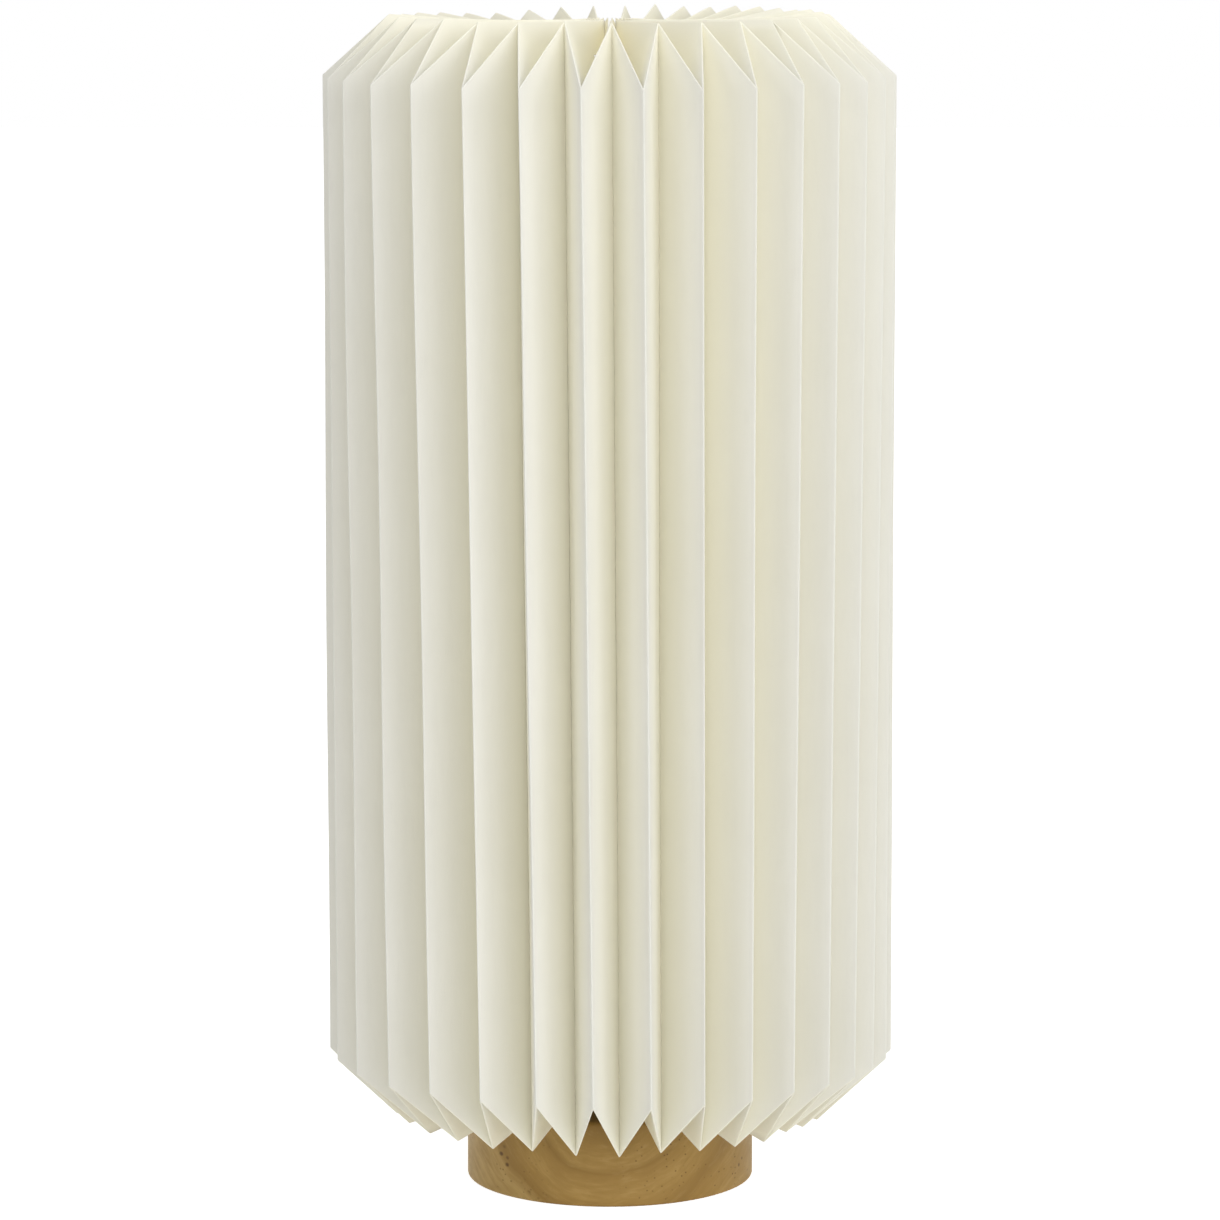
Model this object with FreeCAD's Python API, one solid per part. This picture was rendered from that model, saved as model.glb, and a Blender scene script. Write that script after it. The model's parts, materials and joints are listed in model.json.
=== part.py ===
"""Pleated paper table lamp: a tall folded-paper shade standing on a round wooden base.

Millimetres, +Z up. The origin is the centre of the base's underside, and the front is -Y.
Each separate physical piece is one solid (or one group of like fasteners) in parts/.
"""
import math
import os

import FreeCAD
import Part

V = FreeCAD.Vector

# --- paper shade -----------------------------------------------------------
RIDGE_R = 100.0          # outer folds
FOLD_R = 76.5            # inner folds
TOP_Z = 412.0            # inner folds at the top rim, the highest points
TOP_RIDGE_Z = 391.0      # outer folds at the top rim
LOW_RIDGE_Z = 47.0       # outer folds at the bottom rim
LOW_FOLD_Z = 25.0        # inner folds at the bottom rim
TOP_MOUTH_R = 10.0       # the small opening left in the middle of the top collar
LOW_MOUTH_R = 37.0       # opening in the bottom collar
TOP_MOUTH_Z = 409.8      # the top collar dips a little towards its opening
LOW_MOUTH_Z = 34.45      # the bottom collar rises over the edge of the wood
PANEL_W = 24.6           # width of one flat panel between two folds
SHEETS = 4               # sheets of paper glued end to end
PLEATS = 9               # pleats in each sheet
PITCH = 2 * math.pi / (SHEETS * PLEATS)
FIRST_FOLD = math.radians(-140.0)    # the first sheet's edge
TOP_SPREAD = (0.182, 0.111, 0.5)     # uneven spread of the folds at the top: sine, cosine, turn
LOW_SPREAD = (0.105, 0.172, 2.4)     # the same at the bottom, so that the folds lean a little
SKIN = 0.64              # half the paper's thickness, measured along a fold's depth
LOW_MOUTH_SKIN = 1.45    # the same at the openings, where the folds are tighter
TOP_MOUTH_SKIN = 2.8
SEAM_GAP = math.radians(0.06)
TAPE_SKIN = 0.5
TAPE_REACH = 0.4         # the part of a panel that a joint strip covers
TAPE_MARGIN = 0.03       # the part of the height that it leaves free at each end
TAPE_GLUE = 0.75         # room for its glue, measured along the fold's depth
GLUE = 0.05
HOOP_WIRE_R = 1.0
HOOP_HOLE_R = 1.4
TOP_HOOP_R = 38.0
LOW_HOOP_R = 44.0

# --- wooden base -----------------------------------------------------------
WOOD_R = 50.7
WOOD_LOW_Z = 0.2           # the felt under the cover stands this far proud of the wood
WOOD_TOP_Z = 30.2
WOOD_LOW_EDGE = 0.8
WOOD_TOP_EDGE = 1.5
RECESS_R = 36.0
RECESS_TOP_Z = 17.0
COVER_R = 44.5
COVER_LOW_Z = 1.2
COVER_T = 2.2
COVER_GAP = 0.4
FELT_R = 44.2
FELT_EDGE = 0.4
SCREW_CIRCLE_R = 40.5
SCREWS = 3
BALLAST_R = 34.5
BALLAST_HOLE_R = 14.0
BALLAST_LOW_Z = 10.0
BALLAST_SCREW_R = 24.0
GROOVE_W = 10.6          # groove in the ballast for the bush and the wires
GROOVE_H = 5.4
INLET_Z = 9.6
INLET_R = 3.1
BUSH_R = 4.1
BUSH_FLANGE_R = 6.0
BUSH_FLANGE_T = 1.6
BUSH_SEAT_Y = 48.6

# --- post and lampholder ---------------------------------------------------
NIPPLE_R = 5.0
NIPPLE_BORE_R = 3.5
NIPPLE_LOW_Z = 8.0
NIPPLE_TOP_Z = 66.0
THREAD_GAP = 0.05
NUT_FLATS = 14.0
NUT_T = 5.0
PLATE_T = 1.0
CUP_R = 35.4
CUP_H = 20.0
WASHER_T = 1.2
WASHER_R = 11.0
SPACER_R = 8.0
HOLDER_LOW_Z = 56.0
HOLDER_R = 19.8
HOLDER_WALL = 2.0
HOLDER_SPLIT_Z = 76.0
HOLDER_TOP_Z = 108.0
HOLDER_MOUTH_R = 14.6
CORE_Z = 84.0
SHELL_R = 13.1
SHELL_T = 0.4
SHELL_TOP_Z = 104.0

# --- bulb ------------------------------------------------------------------
BULB_LOW_Z = 85.1
CAP_R = 12.6
CAP_T = 0.4
CAP_LOW_Z = 91.0
CAP_TOP_Z = 110.0
HOUSING_LOW_R = 13.6
GLOBE_R = 30.0
GLOBE_Z = 163.0
GLOBE_T = 1.2
GLOBE_CUT_Z = 148.0
BOARD_Z = 144.4
CHIPS = 10


def save(name, shape):
    shape.exportStep(f"parts/{name}.step")
    print(f"{name}: {len(shape.Solids)} solid(s), {shape.Volume / 1000:.2f} cm3, valid {shape.isValid()}")


def polar(radius, angle, z):
    """A point at an angle counted from the front (-Y), positive towards +X."""
    return V(radius * math.sin(angle), -radius * math.cos(angle), z)


def tube(outer, low, high, inner=0.0):
    body = Part.makeCylinder(outer, high - low, V(0, 0, low))
    if inner:
        body = body.cut(Part.makeCylinder(inner, high - low + 2, V(0, 0, low - 1)))
    return body


def turned(profile):
    """A solid of revolution about Z from closed (radius, z) points."""
    points = [V(r, 0, z) for r, z in profile]
    wire = Part.makePolygon(points + points[:1])
    return Part.Face(wire).revolve(V(0, 0, 0), V(0, 0, 1), 360)


def rounded(shape, radius, wanted):
    """Round the circular edges whose (radius, z) are listed."""
    edges = []
    for edge in shape.Edges:
        curve = edge.Curve
        if isinstance(curve, Part.Circle):
            for r, z in wanted:
                if abs(curve.Radius - r) < 0.01 and abs(edge.BoundBox.ZMin - z) < 0.01:
                    edges.append(edge)
    return shape.makeFillet(radius, edges)


def fused(shapes):
    body = shapes[0]
    for other in shapes[1:]:
        body = body.fuse(other)
    return body.removeSplitter()


def around(shape, count, start=0.0):
    """Copies of a shape, evenly spaced about Z."""
    copies = []
    for i in range(count):
        piece = shape.copy()
        piece.rotate(V(0, 0, 0), V(0, 0, 1), start + 360.0 * i / count)
        copies.append(piece)
    return copies


def hexagon(flats, low, high, hole):
    corner = flats / math.sqrt(3)
    points = [V(corner * math.cos(math.radians(60 * i)), corner * math.sin(math.radians(60 * i)), low)
              for i in range(7)]
    body = Part.Face(Part.makePolygon(points)).extrude(V(0, 0, high - low))
    chamfer = turned([(0, low), (flats / 2, low), (corner, low + 0.9), (corner, high - 0.9),
                      (flats / 2, high), (0, high)])
    return body.common(chamfer).cut(tube(hole, low - 1, high + 1))


# --- the folded paper ------------------------------------------------------
def fold_angle(step, spread):
    """Angle of fold number `step`: even folds point inwards, odd ones outwards."""
    sine, cosine, turn = spread
    even = FIRST_FOLD + step * PITCH / 2
    return even + sine * math.sin(even) + cosine * (math.cos(even) - 1) + math.radians(turn)


def mouth_depth(radius):
    """How far the outer folds lie below the inner ones where the collar ends."""
    return math.sqrt(PANEL_W**2 - (radius * PITCH / 2) ** 2)


def fold_line(step, shift=0.0, side=0.0):
    """The four corners of one fold, from the bottom opening up and over to the top opening.

    side is +1 on the paper's outer face and -1 on its inner face.
    """
    low_angle = fold_angle(step, LOW_SPREAD) + shift
    top_angle = fold_angle(step, TOP_SPREAD) + shift
    inward = step % 2 == 0
    radius = FOLD_R if inward else RIDGE_R
    low = LOW_FOLD_Z if inward else LOW_RIDGE_Z
    top = TOP_Z if inward else TOP_RIDGE_Z
    low_mouth = LOW_MOUTH_Z + (0 if inward else mouth_depth(LOW_MOUTH_R))
    top_mouth = TOP_MOUTH_Z - (0 if inward else mouth_depth(TOP_MOUTH_R))
    return [polar(LOW_MOUTH_R, low_angle, low_mouth - side * LOW_MOUTH_SKIN),
            polar(radius + side * SKIN, low_angle, low - side * SKIN),
            polar(radius + side * SKIN, top_angle, top + side * SKIN),
            polar(TOP_MOUTH_R, top_angle, top_mouth + side * TOP_MOUTH_SKIN)]


def flat(points):
    return Part.Face(Part.makePolygon(list(points) + [points[0]]))


def solid_of(faces):
    shell = Part.Shell(faces)
    shell.sewShape()
    solid = Part.Solid(Part.Shell(shell.Faces))
    if solid.Volume < 0:
        solid.reverse()
    return solid


def halves(a, b, c, d):
    """Two triangles that share the line from a to c."""
    return [flat([a, b, c]), flat([a, c, d])]


def skin_faces(folds):
    """One face of the paper: two triangles between folds, and two in each collar."""
    faces = []
    for i in range(len(folds) - 1):
        left, right = folds[i], folds[i + 1]
        # the shared line runs from the inner fold's foot to the outer fold's head
        if i % 2 == 0:
            faces += halves(left[1], right[1], right[2], left[2])
        else:
            faces += halves(right[1], right[2], left[2], left[1])
        faces += halves(left[0], right[0], right[1], left[1])
        faces += halves(left[2], right[2], right[3], left[3])
    return faces


def shade_sheet(number):
    first = number * PLEATS * 2
    steps = range(first, first + PLEATS * 2 + 1)
    shifts = {steps[0]: SEAM_GAP, steps[-1]: -SEAM_GAP}
    outer = [fold_line(s, shifts.get(s, 0.0), 1) for s in steps]
    inner = [fold_line(s, shifts.get(s, 0.0), -1) for s in steps]
    faces = skin_faces(outer) + skin_faces(inner)
    for end in (0, -1):
        for k in range(3):
            faces += halves(outer[end][k], outer[end][k + 1], inner[end][k + 1], inner[end][k])
    for k in (0, 3):
        for i in range(len(outer) - 1):
            faces.append(flat([outer[i][k], outer[i + 1][k], inner[i + 1][k], inner[i][k]]))
    solid = solid_of(faces)
    for hoop in (hoop_ring(TOP_HOOP_R, HOOP_HOLE_R, True), hoop_ring(LOW_HOOP_R, HOOP_HOLE_R, False)):
        solid = solid.cut(hoop)
    return solid


def inwards(point, depth):
    """The point moved this far towards the lamp's axis."""
    return point - V(point.x, point.y, 0).normalize() * depth


def strip_side(step, depth):
    """One face of a joint strip: its left edge, its fold and its right edge, each from foot to head.

    Each wing follows the two triangles of its panel, so its edge bends where their line crosses it.
    """
    fold = fold_line(step, side=-1)
    left, right = fold_line(step - 1, side=-1), fold_line(step + 1, side=-1)
    rows = []
    for other in (left, fold, right):
        foot, head = inwards(fold[1], depth), inwards(fold[2], depth)
        far_foot, far_head = inwards(other[1], depth), inwards(other[2], depth)
        edge_foot = foot + (far_foot - foot) * TAPE_REACH
        edge_head = head + (far_head - head) * TAPE_REACH
        bend = foot + (far_head - foot) * TAPE_REACH
        if other is fold:
            rows.append([foot + (head - foot) * TAPE_MARGIN, head - (head - foot) * TAPE_MARGIN])
        else:
            rows.append([edge_foot + (bend - edge_foot) * TAPE_MARGIN / TAPE_REACH, bend,
                         edge_head - (edge_head - bend) * TAPE_MARGIN / (1 - TAPE_REACH)])
    return rows


def wing_faces(edge, fold):
    return [flat([fold[0], edge[0], edge[1]]), flat([fold[0], edge[1], edge[2], fold[1]])]


def seam_strip(number):
    """A strip of paper folded into the inner fold where two sheets meet, on the inside."""
    step = number * PLEATS * 2
    near, far = strip_side(step, TAPE_GLUE), strip_side(step, TAPE_GLUE + 2 * TAPE_SKIN)
    faces = []
    for left, fold, right in (near, far):
        faces += wing_faces(left, fold) + wing_faces(right, fold)
    for edge in (0, 2):
        for k in (0, 1):
            faces += halves(near[edge][k], near[edge][k + 1], far[edge][k + 1], far[edge][k])
        for k in (0, -1):
            faces += halves(near[1][k], near[edge][k], far[edge][k], far[1][k])
    return solid_of(faces)


def hoop_height(radius, top):
    """Half way down the collar at this radius."""
    if top:
        part = (FOLD_R - radius) / (FOLD_R - TOP_MOUTH_R)
        upper = TOP_Z + part * (TOP_MOUTH_Z - TOP_Z)
        return upper - mouth_depth(radius) / 2
    part = (FOLD_R - radius) / (FOLD_R - LOW_MOUTH_R)
    lower = LOW_FOLD_Z + part * (LOW_MOUTH_Z - LOW_FOLD_Z)
    return lower + mouth_depth(radius) / 2


def hoop_ring(radius, wire, top):
    return Part.makeTorus(radius, wire, V(0, 0, hoop_height(radius, top)))


# --- base ------------------------------------------------------------------
def wood_base():
    body = tube(WOOD_R, WOOD_LOW_Z, WOOD_TOP_Z)
    body = rounded(body, WOOD_LOW_EDGE, [(WOOD_R, WOOD_LOW_Z)])
    body = rounded(body, WOOD_TOP_EDGE, [(WOOD_R, WOOD_TOP_Z)])
    body = body.cut(tube(COVER_R + COVER_GAP, WOOD_LOW_Z - 1, COVER_LOW_Z + COVER_T))
    body = body.cut(tube(RECESS_R, WOOD_LOW_Z, RECESS_TOP_Z))
    body = body.cut(tube(NIPPLE_R + 0.2, RECESS_TOP_Z - 1, WOOD_TOP_Z + 1))
    inlet = Part.makeCylinder(BUSH_R, WOOD_R, V(0, RECESS_R - 8, INLET_Z), V(0, 1, 0))
    seat = Part.makeCylinder(BUSH_FLANGE_R + 0.2, 9, V(0, BUSH_SEAT_Y, INLET_Z), V(0, 1, 0))
    body = body.cut(inlet).cut(seat)
    for hole in screw_shanks(SCREW_CIRCLE_R, COVER_LOW_Z, 13.0):
        body = body.cut(hole)
    for hole in screw_shanks(BALLAST_SCREW_R, BALLAST_LOW_Z, RECESS_TOP_Z + 9):
        body = body.cut(hole)
    return body


def screw_shanks(circle, low, high):
    shank = Part.makeCylinder(1.4, high - low, V(circle, 0, low))
    return around(shank, SCREWS, 30)


def countersunk_screws(circle, head_z, tip_z, head_r):
    """Flat-headed wood screws whose heads face down, with a cross slot."""
    head = Part.makeCone(head_r, 1.4, 1.6, V(circle, 0, head_z))
    shank = Part.makeCylinder(1.4, tip_z - head_z - 2, V(circle, 0, head_z))
    tip = Part.makeCone(1.4, 0.3, 2.0, V(circle, 0, tip_z - 2))
    screw = fused([head, shank, tip])
    for turn in (0, 90):
        slot = Part.makeBox(2.8, 0.6, 1.2, V(circle - 1.4, -0.3, head_z - 0.3))
        slot.rotate(V(circle, 0, 0), V(0, 0, 1), turn)
        screw = screw.cut(slot)
    return Part.Compound(around(screw, SCREWS, 30))


def base_cover():
    body = tube(COVER_R, COVER_LOW_Z, COVER_LOW_Z + COVER_T)
    for cone in around(Part.makeCone(2.9, 1.5, 1.6, V(SCREW_CIRCLE_R, 0, COVER_LOW_Z)), SCREWS, 30):
        body = body.cut(cone)
    for hole in screw_shanks(SCREW_CIRCLE_R, COVER_LOW_Z - 1, COVER_LOW_Z + COVER_T + 1):
        body = body.cut(hole)
    return body


def ballast_weight():
    body = tube(BALLAST_R, BALLAST_LOW_Z, RECESS_TOP_Z, BALLAST_HOLE_R)
    body = rounded(body, 1.0, [(BALLAST_R, BALLAST_LOW_Z)])
    for cone in around(Part.makeCone(3.4, 1.5, 1.9, V(BALLAST_SCREW_R, 0, BALLAST_LOW_Z)), SCREWS, 30):
        body = body.cut(cone)
    for hole in screw_shanks(BALLAST_SCREW_R, BALLAST_LOW_Z - 1, RECESS_TOP_Z + 1):
        body = body.cut(hole)
    corner = V(-GROOVE_W / 2, BALLAST_HOLE_R - 4, BALLAST_LOW_Z - 0.5)
    groove = Part.makeBox(GROOVE_W, BALLAST_R, GROOVE_H, corner)
    return body.cut(groove)


def cable_bush():
    """Flanged bush in the back of the base, where a lead enters."""
    y_out = BUSH_SEAT_Y + BUSH_FLANGE_T
    y_in = RECESS_R - 3.5
    barrel = Part.makeCylinder(BUSH_R - THREAD_GAP, y_out - y_in, V(0, y_in, INLET_Z), V(0, 1, 0))
    flange = Part.makeCylinder(BUSH_FLANGE_R, BUSH_FLANGE_T, V(0, BUSH_SEAT_Y, INLET_Z), V(0, 1, 0))
    lip = Part.makeCone(BUSH_R, BUSH_R + 0.7, 1.5, V(0, y_in, INLET_Z), V(0, 1, 0))
    bore = Part.makeCylinder(INLET_R, WOOD_R, V(0, y_in - 1, INLET_Z), V(0, 1, 0))
    return fused([barrel, flange, lip]).cut(bore)


def lock_washer(low):
    """Split spring washer."""
    ring = tube(8.6, low, low + 1.2, NIPPLE_R + 0.25)
    return ring.cut(Part.makeBox(10, 0.8, 3, V(0, -0.4, low - 1)))


def shade_cup():
    """Pressed cup on top of the wood: its rim keeps the shade's bottom opening centred."""
    low = WOOD_TOP_Z
    body = turned([(NIPPLE_R + 0.25, low), (CUP_R - 1.5, low), (CUP_R, low + 1.5), (CUP_R, low + CUP_H),
                   (CUP_R - PLATE_T, low + CUP_H), (CUP_R - PLATE_T, low + 1.9),
                   (CUP_R - 1.9, low + PLATE_T), (NIPPLE_R + 0.25, low + PLATE_T)])
    for slot in around(Part.makeCylinder(4.0, 4, V(20, 0, low - 1)), 6, 30):
        body = body.cut(slot)
    return body


# --- lampholder ------------------------------------------------------------
def holder_cap():
    low = HOLDER_LOW_Z
    bore = NIPPLE_R + THREAD_GAP
    outer = HOLDER_R
    inner = HOLDER_R - HOLDER_WALL
    body = turned([(bore, low), (8.5, low), (9.0, low + 0.5), (9.0, low + 7), (16.0, low + 10.5),
                   (18.6, low + 12.6), (outer, low + 15.5), (outer, HOLDER_SPLIT_Z),
                   (inner, HOLDER_SPLIT_Z), (inner, low + 16), (14.6, low + 12.6), (8.5, low + 10),
                   (bore, low + 10)])
    return body.cut(grub_hole(1.5))


def grub_hole(radius):
    return Part.makeCylinder(radius, 8, V(0, NIPPLE_R + THREAD_GAP, HOLDER_LOW_Z + 3.5), V(0, 1, 0))


def holder_grub_screw():
    screw = Part.makeCylinder(1.45, 4.2, V(0, NIPPLE_R + THREAD_GAP, HOLDER_LOW_Z + 3.5), V(0, 1, 0))
    slot = Part.makeBox(3.4, 1.0, 0.5, V(-1.7, NIPPLE_R + 3.6, HOLDER_LOW_Z + 3.25))
    return screw.cut(slot)


def holder_core():
    """Insulating insert that carries the contacts and the wire terminals."""
    rest = HOLDER_SPLIT_Z
    inner = HOLDER_R - HOLDER_WALL - 0.2
    body = fused([tube(inner, rest - 3.4, rest + 3), tube(SHELL_R + SHELL_T, rest, CORE_Z - 2)])
    for side in (-1, 1):
        body = body.cut(Part.makeBox(6, 7, 4.4, V(side * 12 - 3, -3.5, rest - 4)))
    passage = Part.makeCylinder(2.2, 14, V(0, 9, rest - 5))
    return body.cut(passage)


def terminal_screws():
    rest = HOLDER_SPLIT_Z
    head = Part.makeCylinder(2.6, 1.6, V(12, 0, rest - 1.2))
    shank = Part.makeCylinder(1.4, 1.8, V(12, 0, rest - 3.0))
    slot = Part.makeBox(5.4, 0.6, 0.7, V(9.3, -0.3, rest - 0.1))
    return Part.Compound(around(fused([head, shank]).cut(slot), 2))


def bent_strip(points, width, thick):
    """A strip of sheet metal bent in the XZ plane along its points."""
    upper = [V(x, -width / 2, z + thick) for x, z in points]
    lower = [V(x, -width / 2, z) for x, z in points]
    return flat(upper + lower[::-1]).extrude(V(0, width, 0))


def centre_contact():
    z = CORE_Z - 2
    return bent_strip([(-6.5, z), (-3.5, z), (-1.5, z + 2.3), (1.5, z + 2.3), (3, z + 1.5)], 5.0, 0.5)


def screw_shell():
    z = CORE_Z - 2
    cup = turned([(9.5, z), (SHELL_R + SHELL_T, z), (SHELL_R + SHELL_T, SHELL_TOP_Z),
                  (SHELL_R, SHELL_TOP_Z), (SHELL_R, z + SHELL_T), (9.5, z + SHELL_T)])
    return cup


def side_contact():
    """Tab that carries current from the terminal to the outside of the threaded shell."""
    inner = SHELL_R + SHELL_T + GLUE
    foot_z = HOLDER_SPLIT_Z + 3 + GLUE
    foot = Part.makeBox(3.6, 5, 0.5, V(inner, -2.5, foot_z))
    blade = Part.makeBox(0.5, 5, 12, V(inner, -2.5, foot_z))
    block = fused([foot, blade])
    block.rotate(V(0, 0, 0), V(0, 0, 1), 180)
    return block


def holder_body():
    """Outer sleeve over the threaded shell, with grip ribs and a turned-in rim."""
    low = HOLDER_SPLIT_Z + 3 + GLUE
    inner = HOLDER_R - HOLDER_WALL
    body = turned([(inner, HOLDER_SPLIT_Z), (HOLDER_R, HOLDER_SPLIT_Z), (HOLDER_R, low + 8),
                   (HOLDER_R - 1, low + 9.5), (HOLDER_R - 1, HOLDER_TOP_Z - 1.4),
                   (HOLDER_R - 2.4, HOLDER_TOP_Z), (HOLDER_MOUTH_R, HOLDER_TOP_Z),
                   (HOLDER_MOUTH_R, HOLDER_TOP_Z - 2), (inner, HOLDER_TOP_Z - 2)])
    flutes = around(Part.makeCylinder(0.8, 9, V(HOLDER_R + 0.35, 0, HOLDER_SPLIT_Z)), 24)
    for flute in flutes:
        body = body.cut(flute)
    return body


# --- bulb ------------------------------------------------------------------
def bulb_tip():
    z = BULB_LOW_Z
    return turned([(0, z), (2.6, z), (4.2, z + 0.7), (5.0, z + 1.9), (0, z + 1.9)])


def bulb_insulator():
    z = BULB_LOW_Z + 1.9
    return turned([(0, z), (5.4, z), (10.6, CAP_LOW_Z - 1.2), (11.4, CAP_LOW_Z), (11.4, CAP_LOW_Z + 1),
                   (0, CAP_LOW_Z + 1)])


def bulb_cap():
    low = CAP_LOW_Z
    return turned([(11.6, low), (CAP_R, low + 1.2), (CAP_R, CAP_TOP_Z), (CAP_R - CAP_T, CAP_TOP_Z),
                   (CAP_R - CAP_T, low + 1.6), (11.6, low + 0.9)])


def housing_outline(inset, low, high):
    """The tapered housing's side as an arc between its foot and the globe's edge."""
    top_r = globe_radius_at(GLOBE_CUT_Z)
    points = []
    for i in range(9):
        part = i / 8
        radius = HOUSING_LOW_R + (top_r - HOUSING_LOW_R) * math.sin(part * math.pi / 2) ** 0.9
        points.append((radius - inset, low + (high - low) * part))
    return points


def globe_radius_at(z):
    return math.sqrt(GLOBE_R**2 - (GLOBE_Z - z) ** 2)


def bulb_housing():
    outer = housing_outline(0, CAP_TOP_Z, GLOBE_CUT_Z)
    inner = housing_outline(1.6, CAP_TOP_Z, GLOBE_CUT_Z)
    skirt = CAP_R - CAP_T - GLUE
    profile = [(skirt - 1.4, CAP_TOP_Z - 9), (skirt, CAP_TOP_Z - 9), (skirt, CAP_TOP_Z + GLUE)]
    profile += [(r, z + GLUE) for r, z in outer]
    profile += [(r, z + GLUE) for r, z in inner[::-1][:-1]]
    profile += [(skirt - 1.4, CAP_TOP_Z + 2)]
    return turned(profile)


def bulb_globe():
    outside = Part.makeSphere(GLOBE_R, V(0, 0, GLOBE_Z))
    inside = Part.makeSphere(GLOBE_R - GLOBE_T, V(0, 0, GLOBE_Z))
    below = tube(GLOBE_R + 1, GLOBE_Z - GLOBE_R - 1, GLOBE_CUT_Z + 2 * GLUE)
    return outside.cut(inside).cut(below)


def led_board():
    return tube(20.0, BOARD_Z, BOARD_Z + 1.6, 2.0)


def led_chips():
    chip = Part.makeBox(3.0, 3.0, 0.7, V(12.5, -1.5, BOARD_Z + 1.6))
    return Part.Compound(around(chip, CHIPS))


def driver_board():
    """Upright circuit board in the housing, with its two largest components."""
    board = Part.makeBox(17, 1.2, 34, V(-8.5, -0.6, 104))
    capacitor = Part.makeCylinder(3.6, 11, V(1.2, -4.0, 122))
    coil = Part.makeBox(8, 6, 8, V(-4, 0.6, 112))
    return fused([board, capacitor, coil])


def main():
    nut_z = RECESS_TOP_Z - 2 * WASHER_T - NUT_T
    cup_floor = WOOD_TOP_Z + PLATE_T
    save("felt_pad", rounded(tube(FELT_R, 0, COVER_LOW_Z), FELT_EDGE, [(FELT_R, 0)]))
    save("base_cover", base_cover())
    save("cover_screws", countersunk_screws(SCREW_CIRCLE_R, COVER_LOW_Z, 12.5, 2.8))
    save("wood_base", wood_base())
    save("ballast_weight", ballast_weight())
    save("ballast_screws", countersunk_screws(BALLAST_SCREW_R, BALLAST_LOW_Z, RECESS_TOP_Z + 8, 3.2))
    save("cable_bush", cable_bush())
    save("threaded_nipple", tube(NIPPLE_R, NIPPLE_LOW_Z, NIPPLE_TOP_Z, NIPPLE_BORE_R))
    save("lower_nut", hexagon(NUT_FLATS, nut_z, nut_z + NUT_T, NIPPLE_R + THREAD_GAP))
    save("lock_washer", lock_washer(nut_z + NUT_T))
    save("lower_washer", tube(WASHER_R, RECESS_TOP_Z - WASHER_T, RECESS_TOP_Z, NIPPLE_R + 0.25))
    save("shade_cup", shade_cup())
    save("cup_washer", tube(WASHER_R, cup_floor, cup_floor + WASHER_T, NIPPLE_R + 0.25))
    save("spacer_tube", tube(SPACER_R, cup_floor + WASHER_T, HOLDER_LOW_Z, NIPPLE_R + 0.25))

    save("holder_cap", holder_cap())
    save("holder_grub_screw", holder_grub_screw())
    save("holder_core", holder_core())
    save("terminal_screws", terminal_screws())
    save("centre_contact", centre_contact())
    save("side_contact", side_contact())
    save("screw_shell", screw_shell())
    save("holder_body", holder_body())

    save("bulb_tip", bulb_tip())
    save("bulb_insulator", bulb_insulator())
    save("bulb_cap", bulb_cap())
    save("bulb_housing", bulb_housing())
    save("bulb_globe", bulb_globe())
    save("led_board", led_board())
    save("led_chips", led_chips())
    save("driver_board", driver_board())

    for number in range(SHEETS):
        save(f"shade_sheet_{number + 1}", shade_sheet(number))
        save(f"seam_strip_{number + 1}", seam_strip(number))
    save("top_hoop", hoop_ring(TOP_HOOP_R, HOOP_WIRE_R, True))
    save("bottom_hoop", hoop_ring(LOW_HOOP_R, HOOP_WIRE_R, False))


main()
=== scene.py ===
"""Looks of the pleated paper table lamp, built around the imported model. Metres, front towards -Y."""

import json
import math
import random

import bpy
from mathutils import Matrix, Vector, noise


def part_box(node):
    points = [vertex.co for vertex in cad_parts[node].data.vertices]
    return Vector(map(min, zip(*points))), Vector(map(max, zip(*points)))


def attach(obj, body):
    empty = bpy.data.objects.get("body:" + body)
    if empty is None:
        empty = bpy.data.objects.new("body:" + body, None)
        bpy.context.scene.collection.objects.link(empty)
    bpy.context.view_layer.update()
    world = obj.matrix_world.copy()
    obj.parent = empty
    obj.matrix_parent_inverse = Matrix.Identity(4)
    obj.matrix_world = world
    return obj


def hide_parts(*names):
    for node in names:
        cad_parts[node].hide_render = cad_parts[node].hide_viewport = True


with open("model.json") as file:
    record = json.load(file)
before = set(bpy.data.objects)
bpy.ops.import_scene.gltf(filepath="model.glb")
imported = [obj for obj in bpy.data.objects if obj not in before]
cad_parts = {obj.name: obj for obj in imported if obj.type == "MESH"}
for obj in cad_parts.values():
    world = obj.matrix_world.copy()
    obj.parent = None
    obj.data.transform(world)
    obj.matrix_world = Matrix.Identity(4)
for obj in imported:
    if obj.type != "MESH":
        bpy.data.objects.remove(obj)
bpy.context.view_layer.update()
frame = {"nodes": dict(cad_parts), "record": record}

MM = 0.001

# --- camera, fitted to the photograph ---------------------------------------
FRAME_PX = 1220
CAMERA_BACK = 1.913           # from the lamp's axis
CAMERA_HEIGHT = 0.4908
CAMERA_PITCH = math.radians(7.80)
FOCAL_PX = 5494
SENSOR_MM = 36.0
SHIFT = -0.06

# --- light ------------------------------------------------------------------
FLOOR_HALF = 6.0
FLOOR_LIFT = 0.82             # what the floor lacks to white, given to the background's rays alone
AMBIENT = 0.44
PANELS = ((-45, 6.5), (5, 6.5), (30, 9.2), (55, 11.6))    # degrees from the front, watts
PANEL_BACK = 2.47
PANEL_HEIGHT = 1.0
PANEL_SIZE = (1.0, 1.6)
PANEL_AIM = (0, 0, 0.2)
TOP_PLACE = (0.0, -0.2, 2.3)
TOP_SIZE = (1.4, 1.4)
TOP_AIM = (0, 0, 0.4)
TOP_POWER = 13.6

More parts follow.
